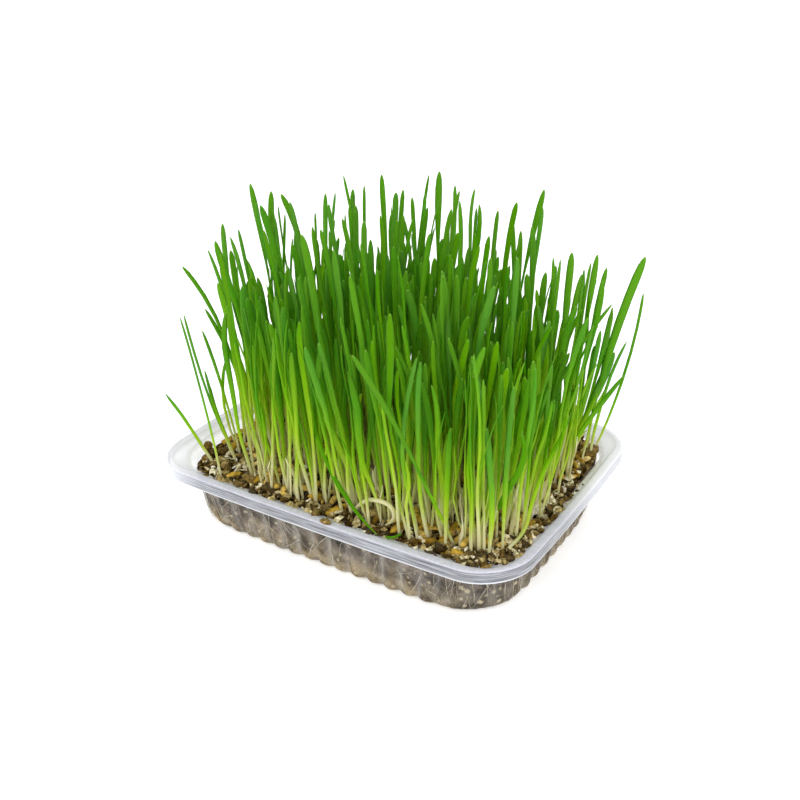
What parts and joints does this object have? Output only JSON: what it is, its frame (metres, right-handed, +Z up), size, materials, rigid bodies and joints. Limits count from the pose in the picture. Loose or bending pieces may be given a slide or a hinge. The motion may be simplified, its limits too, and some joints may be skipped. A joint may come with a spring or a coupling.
{
  "type": "wheatgrass tray",
  "caption": "Rectangular clear plastic food tray with a flanged rim, filled with soil and densely grown with upright wheatgrass blades.",
  "frame": {"origin": "centre of the flat underside of the tray, on the surface it stands on", "axes": "+X along the tray's long side, +Y along its short side to the back, +Z up along the blades"},
  "size_m": [0.1901, 0.1435, 0.1504],
  "materials": {
    "clear_tray": "clear, slightly milky thin vacuum-formed plastic, glossy",
    "dark_soil": null,
    "grass_blade": null
  },
  "bodies": {
    "root": {"tray": "clear_tray", "soil": "dark_soil", "tuft_1_1": "grass_blade", "tuft_1_2": "grass_blade", "tuft_1_3": "grass_blade", "tuft_1_4": "grass_blade", "tuft_1_5": "grass_blade", "tuft_1_6": "grass_blade", "tuft_1_7": "grass_blade", "tuft_1_8": "grass_blade", "tuft_2_1": "grass_blade", "tuft_2_2": "grass_blade", "tuft_2_3": "grass_blade", "tuft_2_4": "grass_blade", "tuft_2_5": "grass_blade", "tuft_2_6": "grass_blade", "tuft_2_7": "grass_blade", "tuft_2_8": "grass_blade", "tuft_3_1": "grass_blade", "tuft_3_2": "grass_blade", "tuft_3_3": "grass_blade", "tuft_3_4": "grass_blade", "tuft_3_5": "grass_blade", "tuft_3_6": "grass_blade", "tuft_3_7": "grass_blade", "tuft_3_8": "grass_blade", "tuft_4_1": "grass_blade", "tuft_4_2": "grass_blade", "tuft_4_3": "grass_blade", "tuft_4_4": "grass_blade", "tuft_4_5": "grass_blade", "tuft_4_6": "grass_blade", "tuft_4_7": "grass_blade", "tuft_4_8": "grass_blade", "tuft_5_1": "grass_blade", "tuft_5_2": "grass_blade", "tuft_5_3": "grass_blade", "tuft_5_4": "grass_blade", "tuft_5_5": "grass_blade", "tuft_5_6": "grass_blade", "tuft_5_7": "grass_blade", "tuft_5_8": "grass_blade", "tuft_6_1": "grass_blade", "tuft_6_2": "grass_blade", "tuft_6_3": "grass_blade", "tuft_6_4": "grass_blade", "tuft_6_5": "grass_blade", "tuft_6_6": "grass_blade", "tuft_6_7": "grass_blade", "tuft_6_8": "grass_blade"}
  },
  "joints": []
}
